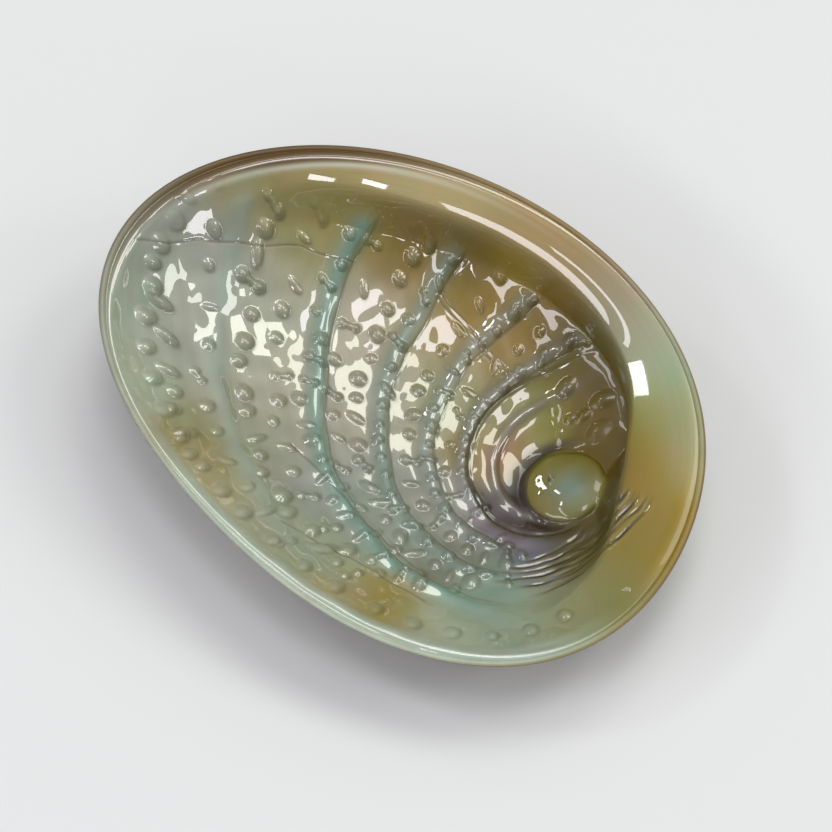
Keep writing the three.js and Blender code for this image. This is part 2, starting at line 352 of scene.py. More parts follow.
def bead_list():
    """Rows of pearly beads along and between the ribs: (x, y, radius, height, stretch, turn)."""
    beads = []
    for number, radius, start, end, spacing, rise in BEAD_ROWS:
        direction = start
        while direction < end:
            x, y, r = spiral_point(number + random.normal(0, 0.04), direction)
            size = radius * random.uniform(0.72, 1.12)
            tall = size * rise * random.uniform(0.8, 1.15)
            turn = math.radians(direction + random.normal(0, 22))
            kind = random.random()
            if kind < ROUND_UP_TO:
                beads.append((x, y, size, tall, random.uniform(1.0, 1.25), turn))
            elif kind < LONG_UP_TO:
                beads.append((x, y, size * 0.72, tall * 0.85, 2.2, turn))
            else:
                reach = size * 0.95
                dx, dy = reach * math.cos(turn), reach * math.sin(turn)
                for side in (-1, 1):
                    end_size = size * random.uniform(0.7, 0.95)
                    beads.append((x + side * dx, y + side * dy, end_size, tall, 1.0, 0.0))
                beads.append((x, y, size * 0.5, tall * 0.75, 2.6, turn))
            direction += math.degrees(spacing * random.uniform(0.75, 1.3) / r)
    for x, y, size in LOOSE_BEADS:
        beads.append((x, y, 1.1 * size, size * 0.34, 1.0, 0.0))
    return beads


def knob_list():
    """Closed pores: a row of round knobs a little inside the rim, opposite the shelf."""
    knobs = []
    degrees, size = PORES_FROM, KNOB_RADIUS
    while degrees < PORES_TO:
        x, y = plan_point(KNOB_ROW, math.radians(degrees))
        knobs.append((x, y, size * random.uniform(0.9, 1.2), size * KNOB_RISE, 1.0, 0.0))
        degrees += random.uniform(*PORE_STEPS)
        size *= KNOB_TAPER
    return knobs


def lumps(x, y, items):
    """Round or drawn-out lumps: their height, the higher where two meet, and a mask of painted shade at
    each one's foot on the spire side."""
    height, foot_shade = np.zeros_like(x), np.zeros_like(x)
    for cx, cy, radius, tall, stretch, turn in items:
        near = (np.abs(x - cx) < 3 * radius * stretch) & (np.abs(y - cy) < 3 * radius * stretch)
        dx, dy = x[near] - cx, y[near] - cy
        along = (dx * math.cos(turn) + dy * math.sin(turn)) / (radius * stretch)
        across = (dy * math.cos(turn) - dx * math.sin(turn)) / radius
        away = np.hypot(along, across)
        height[near] = np.maximum(height[near], tall * np.clip(1 - away**2, 0, 1) ** LUMP_ROUNDNESS)
        spire_side = smooth(-0.5, 0.9, dx / np.maximum(np.hypot(dx, dy), 0.01))
        foot_shade[near] = np.maximum(foot_shade[near], bell(away, 0.92, 0.26) * spire_side)
    return height, foot_shade


def groove_relief(x, y):
    """Sharp growth lines that hug the boss on its spire end and fan out towards the pore side, and the
    crests between them."""
    r, direction = from_spire(x, y)
    turned = unwound(direction, 60)
    turn = np.radians(turned)
    before = np.radians(GROOVES_OPEN_AT - turned)
    opened = (before + np.sqrt(before**2 + 0.02)) / 2
    level = np.log(np.maximum(r, 1))
    line, crest = np.zeros_like(x), np.zeros_like(x)
    for start, strength, last, half_width in GROOVES:
        flare = GROOVE_FLARE - GROOVE_FLARE_LOSS * (start - 2.6)
        wander = 0.010 * np.sin(turn * 7 + start * 40) + 0.006 * np.sin(turn * 19 + start * 90)
        away = r * (level - start - flare * opened - wander)
        broken = 0.75 + 0.25 * np.sin(turn * 13 + start * 60)
        reach = strength * broken * between(turned, last, 361, 7)
        line = np.maximum(line, reach * bell(away, 0, 1.2 * half_width))
        crest = np.maximum(crest, reach * bell(away, 2.3 * half_width, half_width))
    clear = smooth(BOSS_RADIUS + 1.0, BOSS_RADIUS + 2.2, from_boss(x, y))
    return line * clear, crest * clear


def suture(x, y):
    """The spiral seam round the boss: how far out a point lies from it, and how strong it is."""
    r, direction = from_spire(x, y)
    turned = unwound(direction, 40)
    seam = SEAM_RADIUS * np.exp(-SEAM_WINDING * np.radians(turned - SEAM_STARTS_AT))
    clear = smooth(BOSS_RADIUS, BOSS_RADIUS + 1.5, from_boss(x, y))
    return r - seam, between(turned, SEAM_FROM, SEAM_TO, SEAM_FADE) * clear


def crack_lines(x, y):
    mark = np.zeros_like(x)
    for x0, y0, x1, y1 in CRACKS:
        length = math.hypot(x1 - x0, y1 - y0)
        ux, uy = (x1 - x0) / length, (y1 - y0) / length
        along = (x - x0) * ux + (y - y0) * uy
        across = (y - y0) * ux - (x - x0) * uy + CRACK_WAVER * np.sin(along * 0.5 + x0)
        mark = np.maximum(mark, bell(across, 0, CRACK_HALF_WIDTH) * between(along, 0, length, 1.0))
    return mark


def unevenness(x, y):
    """Slow waves in the nacre that break up its highlights."""
    height = np.zeros_like(x)
    for size, wavelength, degrees, start in WAVES:
        ux, uy = math.cos(math.radians(degrees)), math.sin(math.radians(degrees))
        bend = 1.4 * np.sin((x * uy - y * ux) * 0.13 + start)
        height = height + size * np.sin((x * ux + y * uy) * 2 * math.pi / wavelength + bend + start)
    return height


def inside_relief(x, y):
    """Height of all that stands on the plain inside or is cut into it, and marks for its colours."""
    share, angle, width, amount = shelf_parts(x, y)
    edge = 1 - width * amount
    open_floor = 1 - amount * smooth(edge - 0.07, edge - 0.02, share)
    ribs, crests, rib_lines = rib_relief(x, y)
    out = from_boss(x, y)
    clear = smooth(BOSS_RADIUS + 0.5, BOSS_RADIUS + 3, out)
    beads, feet_shade = lumps(x, y, bead_list())
    beads = beads * clear * open_floor
    knobs, knob_feet_shade = lumps(x, y, knob_list())
    grooves, groove_crests = groove_relief(x, y)
    seam_out, seam = suture(x, y)
    cracks = crack_lines(x, y)
    height = (ribs + WAVE_SHARE * unevenness(x, y)) * open_floor + beads + knobs
    height = height - GROOVE_DEPTH * grooves + GROOVE_CREST * groove_crests - CRACK_DEPTH * cracks
    terrace = np.clip(-seam_out / TERRACE_WIDTH, 0, 1)
    height = height - seam * (SEAM_DEPTH * bell(seam_out, 0, 0.5) + TERRACE_DEPTH * terrace)
    height = height + INNER_RIDGE * seam * bell(seam_out, INNER_RIDGE_PLACE, INNER_RIDGE_WIDTH)
    height = height - BOSS_MOAT * bell(out, BOSS_RADIUS + 1.2, 1.6)
    height = np.maximum(height, -DEEPEST_RELIEF)
    height = height * (1 - smooth(*MARGIN_FADE, share))
    height = height * (1 - near_direction(angle, CREST_SIDE, CREST_SPREAD) * smooth(*CREST_FADE, share))
    ragged = 0.4 * np.sin(x * 1.9) * np.sin(y * 1.3)
    marks = {
        "open": open_floor, "ribs": crests, "rib lines": rib_lines * open_floor,
        "beads": np.maximum(beads, knobs), "feet_shade": np.maximum(feet_shade * open_floor, knob_feet_shade) * clear,
        "grooves": grooves, "groove crests": groove_crests, "cracks": cracks,
        "seam": seam * bell(seam_out + ragged, 0, 0.95),
    }
    return height, marks


# -------------------- colour of the inside

def linear(text):
    """A colour such as "9c9d8e", as linear light."""
    srgb = np.array([int(text[i:i + 2], 16) / 255 for i in (0, 2, 4)])
    return np.where(srgb <= 0.04045, srgb / 12.92, ((srgb + 0.055) / 1.055) ** 2.4)


# The patch colours are the nacre's as it looks in place, so they carry its shade and light too: the
# darkest, by the spire under the shelf's edge and beside the boss, are partly painted shade.
NACRE_PATCHES = (
    # middle in plan, radius, colour
    (-62, -29, 11, "b0b7ab"), (-52, -38, 9, "b2b8a8"), (-52, -15, 12, "949789"), (-62, 0, 12, "9ba096"),
    (-48, 4, 12, "979a8c"), (-35, -5, 12, "a19f90"), (-25, 15, 11, "a39d8c"), (-26, 34, 8, "7f6828"),
    (-38, 30, 8, "8f8450"), (-45, 19, 9, "99926c"), (-50, 27, 8, "8f8456"), (-61, 21, 8, "988e69"),
    (-11, 41, 7, "6f6430"), (4, 42, 8, "a08848"), (14, 43, 7, "7d6524"), (-6, 34, 8, "94793f"),
    (-12, 24, 9, "978a66"), (6, 28, 9, "907a4c"), (26, 38, 8, "6f6628"), (37, 29, 8, "7c6c14"),
    (41, 22, 7, "7a6c0a"), (48, 16, 6, "5a4204"), (50, 6, 6, "4c3c06"), (28, 19, 7, "85824a"),
    (14, 20, 7, "7a7a4c"), (4, 12, 9, "918f74"), (18, 6, 6, "7c6a2c"), (35, -2, 6, "4d4440"),
    (35, -9, 5, "453c34"), (48, -3, 5, "474426"), (47, -11, 5, "72707c"), (32, -21, 8, "757a6c"),
    (20, -12, 9, "8d8a80"), (12, -24, 10, "8d9488"), (-2, -22, 10, "8b9289"), (-14, -14, 11, "9c9688"),
    (-10, 0, 10, "9c9a8c"), (60, -1, 7, "77743a"), (6, -46, 10, "9fa28c"), (-5, -50, 9, "a5a894"),
    (-25, -46, 9, "aca688"), (-32, -36, 8, "8f8a5c"), (-28, -26, 11, "979888"), (18, -50, 8, "a9a482"),
    (29, -46, 9, "92844c"), (42, -42, 9, "b3bcaa"), (56, -32, 9, "9aa898"), (44, -28, 9, "86978a"),
    (64, -20, 9, "9a9f80"), (71, -10, 8, "8f8e68"),
)
SHELF_PATCHES = (
    (-60, 26, 12, "a29570"), (-46, 38, 11, "a8986e"), (-34, 44, 10, "b8a884"), (-20, 49, 10, "b8a680"),
    (-4, 50, 10, "a9946c"), (13, 50, 10, "9e8a64"), (26, 48, 9, "a29580"), (38, 44, 9, "a3a78e"),
    (49, 39, 9, "9faa92"), (58, 30, 8, "a2a286"), (50, 30, 7, "94945a"), (52, 24, 7, "86701c"),
    (57, 16, 7, "8c7416"), (65, 12, 7, "937a32"), (66, 22, 7, "a39c78"), (70, 2, 8, "8c783c"),
    (62, 4, 7, "857428"), (68, -10, 8, "868058"),
)
NACRE_SATURATION, NACRE_SHADE = 1.35, 0.93


def patchwork(x, y, patches):
    total = np.zeros(x.shape + (3,))
    weight = np.zeros(x.shape)
    for px, py, radius, text in patches:
        w = np.exp(-((x - px) ** 2 + (y - py) ** 2) / radius**2) + 1e-6
        total += w[..., None] * linear(text)
        weight += w
    colour = total / weight[..., None]
    grey = colour.mean(-1, keepdims=True)
    return np.clip(grey + (colour - grey) * NACRE_SATURATION, 0.01, 1) * NACRE_SHADE


# Paint over the patches: colour and strength
PAINT = {
    "rib line shade": ("4e4c30", 0.5), "bead": ("84887a", 0.30), "foot_shade": ("4c4f36", 0.40),
    "whorl shade": ("43383a", 0.9), "lilac whorl": ("8c84a0", 0.32), "orange spot": ("8a4f10", 0.8),
    "seam": ("2b2614", 1.0), "groove crest": ("8d8038", 0.75), "groove": ("1e1e08", 1.3),
    "crack": ("55503c", 0.6), "boss shade": ("2a1f1a", 0.95), "shade_under_shelf": ("665408", 1.3),
    "boss": ("7a7024", 1.0), "boss top": ("7c9084", 0.9), "ridge": ("77716c", 0.6),
    "mint margin": ("b3c1b2", 0.85), "crest highlight": ("dcd8cc", 0.75), "head margin": ("5e430f", 1.0),
}
RIB_PAINT = (("868b92", 0.6), ("808f8c", 0.6), ("748c82", 0.7), ("6a9184", 0.85), ("8c9f94", 0.5))
SHADE_UNDER_SHELF_MOST = 0.92
ORANGE_SPOT, ORANGE_SPOT_STRETCH, ORANGE_SPOT_RADIUS = (23, 9), 1.8, 4.2
BOSS_TOP, BOSS_TOP_RADIUS = (41.8, 9.8), 4.6
PORE_SIDE = (222, 312)  # directions from the spire


def tint(base, text, share):
    return base + (linear(text) - base) * np.clip(share, 0, 1)[..., None]


def painted(base, name, share):
    text, strength = PAINT[name]
    return tint(base, text, share * strength)


def paint_growth(colour, marks):
    """Ribs with painted shade in the creases at their inner feet, and beads with painted shade at their
    feet.
    """
    for crest, (text, strength) in zip(marks["ribs"], RIB_PAINT):
        colour = tint(colour, text, crest * strength * marks["open"])
    # Painted shade in the crease at each rib's inner foot.
    colour = painted(colour, "rib line shade", marks["rib lines"])
    colour = painted(colour, "bead", smooth(0.2, 0.8, marks["beads"]))
    # Painted shade at the foot of each bead and knob, on its spire side.
    return painted(colour, "foot_shade", marks["feet_shade"])


def paint_whorls(colour, x, y, marks):
    """The bands, seam and growth lines round the boss, with painted shade on the sunken terrace inside the
    seam, and the cracks.
    """
    below = between(from_spire(x, y)[1], *PORE_SIDE, 16)
    seam_out, seam = suture(x, y)
    # Painted shade on the sunken terrace inside the seam, on the pore side.
    colour = painted(colour, "whorl shade", below * seam * (1 - smooth(-1.5, 0.5, seam_out)))
    colour = painted(colour, "lilac whorl", below * seam * bell(seam_out, 3.2, 1.7))
    from_spot = np.hypot(x - ORANGE_SPOT[0], (y - ORANGE_SPOT[1]) / ORANGE_SPOT_STRETCH)
    colour = painted(colour, "orange spot", bell(from_spot, 0, ORANGE_SPOT_RADIUS))
    colour = painted(colour, "seam", marks["seam"] * mix(0.45, 0.95, below))
    colour = painted(colour, "groove crest", marks["groove crests"])
    colour = painted(colour, "groove", marks["grooves"])
    return painted(colour, "crack", marks["cracks"])


def paint_boss(colour, x, y):
    """The boss with painted shade round it, widest on the pore side, olive-brown painted shade in the
    hollow under the shelf, and the inner ridge.
    """
    share, angle, width, amount = shelf_parts(x, y)
    out = from_boss(x, y)
    boss = 1 - smooth(BOSS_RADIUS - 0.8, BOSS_RADIUS + 0.2, out)
    toward_pore_side = 0.5 - 0.5 * (y - BOSS[1]) / np.maximum(out, 1)
    colour = painted(colour, "boss shade", bell(out, BOSS_RADIUS + 1.6, mix(1.3, 3.4, toward_pore_side)))
    # Painted shade in the hollow under the shelf's edge: partly the nacre's olive-brown, partly shade.
    shade_under_shelf = edge_hollow(angle) * amount * bell(share - (1 - width), -0.1, 0.10)
    text, strength = PAINT["shade_under_shelf"]
    colour = tint(colour, text, np.minimum(shade_under_shelf * strength, SHADE_UNDER_SHELF_MOST))
    colour = painted(colour, "boss", boss)
    from_top = np.hypot(x - BOSS_TOP[0], y - BOSS_TOP[1])
    colour = painted(colour, "boss top", bell(from_top, 0, BOSS_TOP_RADIUS) * boss)
    seam_out, seam = suture(x, y)
    return painted(colour, "ridge", seam * bell(seam_out, INNER_RIDGE_PLACE, 1.7))


def paint_margin(colour, share, angle):
    """The margin: mint on the pore side, and at the head end gold outside a painted highlight along the
    crest.
    """
    mint = between(np.degrees(angle) % 360, 238, 332, 14) * smooth(0.925, 0.965, share)
    colour = painted(colour, "mint margin", mint)
    # A painted highlight: a pale line along the head end's crest.
    colour = painted(colour, "crest highlight", near_direction(angle, 138, 34) * bell(share, 0.943, 0.012))
    head = near_direction(angle, 146, 56)
    return painted(colour, "head margin", head * smooth(1 - 0.052 * head - 0.012, 1 - 0.04 * head, share))


def inside_colour(x, y, marks):
    share, angle, width, amount = shelf_parts(x, y)
    on_shelf = shelf_share(share, width, amount)[..., None]
    colour = mix(patchwork(x, y, NACRE_PATCHES), patchwork(x, y, SHELF_PATCHES), on_shelf)
    colour = paint_growth(colour, marks)
    colour = paint_whorls(colour, x, y, marks)
    colour = paint_boss(colour, x, y)
    return paint_margin(colour, share, angle)


# Dull spots of the pearly coat: middle in plan, radius, how dull
DULL_SPOTS = ((70, -10, 7.0, 1.0), (39, 25, 11, 0.95))
DULLEST = 0.92


def inside_gloss(x, y, marks):
    """How strong the pearly coat is: full on open nacre, weak in hollows, grooves and on the beads."""
    share, angle, width, amount = shelf_parts(x, y)
    dull = [
        edge_hollow(angle) * amount * bell(share - (1 - width), -0.12, 0.13),
        0.8 * marks["grooves"],
        0.5 * marks["groove crests"],
        0.45 * smooth(0.1, 0.7, marks["beads"]),
        0.7 * marks["feet_shade"],
        0.9 * bell(from_boss(x, y), BOSS_RADIUS + 0.9, 2.4),
        0.85 * between(folded(angle), -35, 62, 14) * smooth(0.93, 0.96, share),
    ]
    for px, py, radius, strength in DULL_SPOTS:
        dull.append(strength * bell(np.hypot(x - px, y - py), 0, radius))
    return 1 - DULLEST * np.clip(np.max(dull, axis=0), 0, 1)


# The rim's colours: direction and colour
RIM_COLOURS = (
    (0, "7a5e18"), (30, "6e5c30"), (60, "7c5f48"), (90, "8c7650"), (120, "6c5a2c"), (150, "54421c"),
    (180, "666243"), (215, "8a9179"), (250, "a3aa98"), (290, "b9c4b1"), (325, "98905c"), (360, "7a5e18"),
)


def rim_colour(angle):
    turned = np.degrees(angle) % 360
    stops = [stop for stop, _ in RIM_COLOURS]
    shades = np.array([linear(text) for _, text in RIM_COLOURS])
    return np.stack([np.interp(turned, stops, shades[:, channel]) for channel in range(3)], -1)


# -------------------- the back

# Growth ridges: height, ridges from one rib to the next, and how far they waver, as a phase
COARSE_RIDGES, FINE_RIDGES = (0.35, 3.0, 0.8), (0.22, 7.3, 1.3)
# Spiral cords, the coil of the spire, the ridge that carries the pores, and the knobs
CORD_HEIGHT, CORD_COUNT, CORD_TWIST = 0.22, 34, 2.2
COIL_HEIGHT, COIL_GROWTH = 1.5, 0.62
PORE_RIDGE_HEIGHT, PORE_RIDGE_SHARE, PORE_RIDGE_WIDTH = 1.6, 0.86, 0.05
BACK_PORE_ROW, BACK_PORE_RADII, BACK_PORE_HEIGHT = 0.85, (2.6, 3.2), 1.1
SMALL_KNOBS = 260
BACK_FADE = (0.93, 0.99)


def back_relief(x, y):
    """Growth ridges, spiral cords, a low spire and the raised row of pores."""
    share, angle = share_and_angle(x, y)
    r, direction = from_spire(x, y)
    number = growth(x, y) * 2 * math.pi
    tall, count, waver = COARSE_RIDGES
    height = tall * np.sin(number * count + waver * np.sin(np.radians(direction) * 3))
    tall, count, waver = FINE_RIDGES
    height = height + tall * np.sin(number * count + waver * np.sin(x * 0.21))
    cords = np.sin(np.radians(direction) * CORD_COUNT + CORD_TWIST * np.log(np.maximum(r, 2)))
    height = height + CORD_HEIGHT * cords * smooth(10, 26, r)
    whorl = np.log(np.maximum(r, 0.6)) / COIL_GROWTH + direction / 360
    coil = np.abs((whorl % 1) - 0.5) * 2
    height = height + COIL_HEIGHT * coil * (1 - smooth(9, 20, r))
    pores = between(np.degrees(angle) % 360, 190, 318, 12)
    height = height + PORE_RIDGE_HEIGHT * pores * bell(share, PORE_RIDGE_SHARE, PORE_RIDGE_WIDTH)
    return height * (1 - smooth(*BACK_FADE, share))


def back_knobs():
    """A knob at each pore, and small ones scattered over the back."""
    knobs = []
    degrees = PORES_FROM
    while degrees < PORES_TO:
        x, y = plan_point(BACK_PORE_ROW, math.radians(degrees))
        knobs.append((x, y, random.uniform(*BACK_PORE_RADII), BACK_PORE_HEIGHT, 1.0, 0.0))
        degrees += random.uniform(*PORE_STEPS)
    for _ in range(SMALL_KNOBS):
        number, direction = random.uniform(0.2, 4.6), random.uniform(60, 420)
        x, y, _ = spiral_point(number, direction % 360)
        size = random.uniform(0.8, 2.0)
        knobs.append((x, y, size, size * 0.35, random.uniform(1, 1.6), random.uniform(0, 3.1)))
    return knobs


BACK_PATCHES = (
    (-60, 10, 22, "6f6a4a"), (-40, -20, 20, "7b6a48"), (-20, 20, 20, "6d6444"),
    (0, -10, 20, "857150"), (20, 30, 18, "6a5f42"), (37, 10, 14, "97886e"),
    (30, -25, 18, "7a6d4c"), (60, 0, 18, "75643e"), (0, 45, 18, "645c42"),
)


def back_colour(x, y, relief):
    colour = patchwork(x, y, BACK_PATCHES)
    number = growth(x, y)
    band = 0.5 + 0.5 * np.sin(number * 2 * math.pi * 1.7 + 0.6 * np.sin(y * 0.12))
    colour = tint(colour, "8a4f3a", 0.30 * band)
    colour = tint(colour, "5d7060", 0.25 * (1 - band))
    colour = tint(colour, "a99c82", smooth(0.4, 1.6, relief) * 0.45)
    return tint(colour, "3f3624", smooth(0.1, -0.6, relief) * 0.5)


# -------------------- mesh

def disc_grid(cells):
    """Plan places of a square grid laid over the whole outline: share and angle."""
    ticks = np.linspace(-1, 1, cells + 1)
    u, v = np.meshgrid(ticks, ticks, indexing="ij")
    x, y = u * np.sqrt(1 - v * v / 2), v * np.sqrt(1 - u * u / 2)
    return np.minimum(np.hypot(x, y), 1.0), np.arctan2(y, x)


def grid_normals(points):
    along, across = np.gradient(points, axis=0), np.gradient(points, axis=1)
    normal = np.cross(along, across)
    return normal / np.maximum(np.linalg.norm(normal, axis=-1, keepdims=True), 1e-9)


def border(cells):
    """The grid's border as flat vertex numbers, once round, anticlockwise."""
    n = cells + 1
    bottom = [i * n for i in range(cells)]
    right = [cells * n + j for j in range(cells)]
    top = [i * n + cells for i in range(cells, 0, -1)]
    left = [j for j in range(cells, 0, -1)]
    return np.array(bottom + right + top + left)


def grid_quads(cells, start, facing_up):
    n = cells + 1
    i, j = np.meshgrid(np.arange(cells), np.arange(cells), indexing="ij")
    a = start + (i * n + j).ravel()
    quads = np.stack([a, a + n, a + n + 1, a + 1], -1)
    return quads if facing_up else quads[:, ::-1]


def line_places(x, y, share, angle):
    """Texture places for growth lines: they follow the ribs on the floor and the rim on the shelf."""
    _, _, width, amount = shelf_parts(x, y)
    floor = np.stack([growth(x, y), from_spire(x, y)[1] / 360, share], -1)
    shelf = np.stack([share * 9, np.degrees(angle) / 360, share], -1)
    return mix(floor, shelf, shelf_share(share, width, amount)[..., None])


def inside_surface():
    """The lined side as a grid: directions, plain and finished places, colours, texture places, gloss."""
    share, angle = disc_grid(INSIDE_CELLS)
    x, y = plan_point(share, angle)
    plain = inside_plain(x, y)
    plain[..., 2] -= rim_curl(share, angle)
    relief, marks = inside_relief(x, y)
    places = plain + grid_normals(plain) * relief[..., None]
    places[..., :2] *= 1 - RIM / (WIDTH / 2)
    return {
        "angle": angle, "plain": plain, "places": places, "tint": inside_colour(x, y, marks),
        "whorl": line_places(x, y, share, angle), "gloss": inside_gloss(x, y, marks),
    }


def back_surface():
    """The back as a coarser grid: plain and finished places, colours and texture places."""
    share, angle = disc_grid(BACK_CELLS)
    x, y = plan_point(share, angle)
    plain = back_plain(x, y)
    plain[..., 2] -= rim_curl(share, angle)
    height = back_relief(x, y) + lumps(x, y, back_knobs())[0] * (1 - smooth(*BACK_FADE, share))
    return {
        "plain": plain, "places": plain - grid_normals(plain) * height[..., None],
        "tint": back_colour(x, y, height),
        "whorl": np.stack([growth(x, y), from_spire(x, y)[1] / 360, share], -1),
    }


def lip_rows(inner_edge, rim_angle):
    """Rows of places round the lip: a half round from the inner edge over to the outer edge."""
    x, y = plan_point(np.ones_like(rim_angle), rim_angle)
    outer_edge = np.stack([x, y, -rim_curl(np.ones_like(x), rim_angle)], -1)
    rows = []
    for step in range(1, LIP_STEPS + 1):
        turn = math.pi * step / (LIP_STEPS + 1)
        row = mix(inner_edge, outer_edge, (1 - math.cos(turn)) / 2)
        row[:, 2] += RIM / 2 * math.sin(turn)
        rows.append(row)
    return np.array(rows)


def lip_tints(inner_tint, rim_angle):
    """The lip's colours: the nacre's on its inner part, and the rim's on its outer part."""
    steps = np.arange(1, LIP_STEPS + 1) / (LIP_STEPS + 1)
    outward = smooth(0.4, 0.85, steps)[:, None, None]
    return mix(inner_tint, rim_colour(rim_angle), outward)


def shell_faces(ring, lip_start, back_start):
    """Quads and their material numbers, and the triangles that join the lip to the coarser back."""
    rings = [ring] + [lip_start + k * len(ring) + np.arange(len(ring)) for k in range(LIP_STEPS)]
    quads = [grid_quads(INSIDE_CELLS, 0, True), grid_quads(BACK_CELLS, back_start, False)]
    groups = [np.full(len(quads[0]), NACRE), np.full(len(quads[1]), CRUST)]
    for inner, outer in zip(rings[:-1], rings[1:]):
        quads.append(np.stack([inner, outer, np.roll(outer, -1), np.roll(inner, -1)], -1))
        groups.append(np.full(len(ring), LIP))
    last, back_ring = rings[-1], back_start + border(BACK_CELLS)
    count = len(back_ring)
    triangles = []
    for k in range(count):
        a, b, c = last[2 * k], last[2 * k + 1], last[(2 * k + 2) % len(last)]
        d, e = back_ring[k], back_ring[(k + 1) % count]
        triangles += [(a, d, b), (b, d, e), (b, e, c)]
    return np.concatenate(quads), np.concatenate(groups), np.array(triangles)


def at_rest(points, plain_box):
    """Tilted and centred over the origin, standing on the back's worn patch, which is cut off flat."""
    points = tilted(points)
    low, high = plain_box.min(0), plain_box.max(0)
    points[:, :2] -= (low[:2] + high[:2]) / 2
    points[:, 2] = np.maximum(points[:, 2] - low[2] - WORN_PATCH_DEPTH, 0)
    return points


def flat(values):
    """A grid of triples as one long list."""
    return values.reshape(-1, 3)


def build_shell():
    """The whole shell: points in metres, faces, and the values painted on its points."""
    inside = inside_surface()
    back = back_surface()
    ring = border(INSIDE_CELLS)
    rim_angle = inside["angle"].ravel()[ring]
    lip = flat(lip_rows(flat(inside["places"])[ring], rim_angle))
    lip_tint = flat(lip_tints(flat(inside["tint"])[ring], rim_angle))
    lip_start = inside["gloss"].size
    quads, groups, triangles = shell_faces(ring, lip_start, lip_start + len(lip))
    points = np.concatenate([flat(inside["places"]), lip, flat(back["places"])])
    plain_box = tilted(np.concatenate([flat(back["plain"]), flat(inside["plain"])]))
    return {
        "points": at_rest(points, plain_box) * MM,
        "quads": quads, "groups": groups, "triangles": triangles,
        "tint": np.concatenate([flat(inside["tint"]), lip_tint, flat(back["tint"])]),
        "whorl": np.concatenate([flat(inside["whorl"]), np.zeros_like(lip), flat(back["whorl"])]),
        "gloss": np.concatenate([inside["gloss"].ravel(), np.ones(len(points) - lip_start)]),
    }


def make_mesh(name, points, quads, triangles, groups):
    mesh = bpy.data.meshes.new(name)
    mesh.vertices.add(len(points))
    mesh.vertices.foreach_set("co", points.ravel())
    corners = np.concatenate([quads.ravel(), triangles.ravel()])
    mesh.loops.add(len(corners))
    mesh.loops.foreach_set("vertex_index", corners)
    quad_starts = np.arange(len(quads)) * 4
    triangle_starts = len(quads) * 4 + np.arange(len(triangles)) * 3
    starts = np.concatenate([quad_starts, triangle_starts])
    mesh.polygons.add(len(starts))
    mesh.polygons.foreach_set("loop_start", starts)
    materials = np.concatenate([groups, np.full(len(triangles), LIP)])
    mesh.polygons.foreach_set("material_index", materials)
    mesh.polygons.foreach_set("use_smooth", np.ones(len(starts), bool))
    mesh.update(calc_edges=True)
    mesh.validate()
    return mesh


def add_layer(mesh, name, kind, key, values):
    """Values painted on the mesh's points, which the materials read by name."""
    layer = mesh.attributes.new(name, kind, "POINT")
    layer.data.foreach_set(key, values.ravel())


# -------------------- materials

def node(tree, kind, **settings):
    made = tree.nodes.new(kind)
    for key, value in settings.items():
        setattr(made, key, value)
    return made


def new_material(name, **sockets):
    """A material, its nodes and its shader, with the sockets given by name, _ for a space."""
    material = bpy.data.materials.new(name)
    material.use_nodes = True
    tree = material.node_tree
    shader = tree.nodes["Principled BSDF"]
    for key, value in sockets.items():
        shader.inputs[key.replace("_", " ")].default_value = value
    return material, tree, shader


def painted_layer(tree, name):
    return node(tree, "ShaderNodeAttribute", attribute_name=name)


def grain(tree, vector, scale, detail, roughness=0.6):
    noise = node(tree, "ShaderNodeTexNoise")
    noise.inputs["Scale"].default_value = scale
    noise.inputs["Detail"].default_value = detail
    noise.inputs["Roughness"].default_value = roughness
    tree.links.new(vector, noise.inputs["Vector"])
    return noise.outputs["Fac"]


def ranged(tree, value, low, high, to_low, to_high, **settings):
    remap = node(tree, "ShaderNodeMapRange", **settings)
    for socket, number in (("From Min", low), ("From Max", high), ("To Min", to_low), ("To Max", to_high)):
        remap.inputs[socket].default_value = number
    tree.links.new(value, remap.inputs["Value"])
    return remap.outputs["Result"]


def blended(tree, mode, factor, first, second):
    """A colour mix; factor, first and second are sockets or plain values."""
    made = node(tree, "ShaderNodeMix", data_type="RGBA", blend_type=mode)
    sockets = [s for s in made.inputs if s.enabled]
    for socket, given in zip(sockets, (factor, first, second)):
        if isinstance(given, bpy.types.NodeSocket):
            tree.links.new(given, socket)
        else:
            socket.default_value = given
    return [s for s in made.outputs if s.enabled][0]


def shaded(tree, colour, shade):
    """A colour made darker or lighter by a number from the nodes."""
    grey = node(tree, "ShaderNodeCombineColor")
    for channel in ("Red", "Green", "Blue"):
        tree.links.new(shade, grey.inputs[channel])
    return blended(tree, "MULTIPLY", 1.0, colour, grey.outputs["Color"])


def add_bump(tree, shader, striae, fine, fine_share, strength, distance):
    """Bump from striae and a share of a finer grain; the distance is in metres."""
    height = node(tree, "ShaderNodeMath", operation="MULTIPLY_ADD")
    height.inputs[1].default_value = fine_share
    tree.links.new(fine, height.inputs[0])
    tree.links.new(striae, height.inputs[2])
    bump = node(tree, "ShaderNodeBump")
    bump.inputs["Strength"].default_value = strength
    bump.inputs["Distance"].default_value = distance
    tree.links.new(height.outputs["Value"], bump.inputs["Height"])
    tree.links.new(bump.outputs["Normal"], shader.inputs["Normal"])


def spiral_vector(tree, along, across):
    """Texture places that follow the growth arcs: fine across them and drawn out along them."""
    scaled = node(tree, "ShaderNodeVectorMath", operation="MULTIPLY")
    scaled.inputs[1].default_value = (across, along, 3.0)
    tree.links.new(painted_layer(tree, "whorl").outputs["Vector"], scaled.inputs[0])
    return scaled.outputs["Vector"]


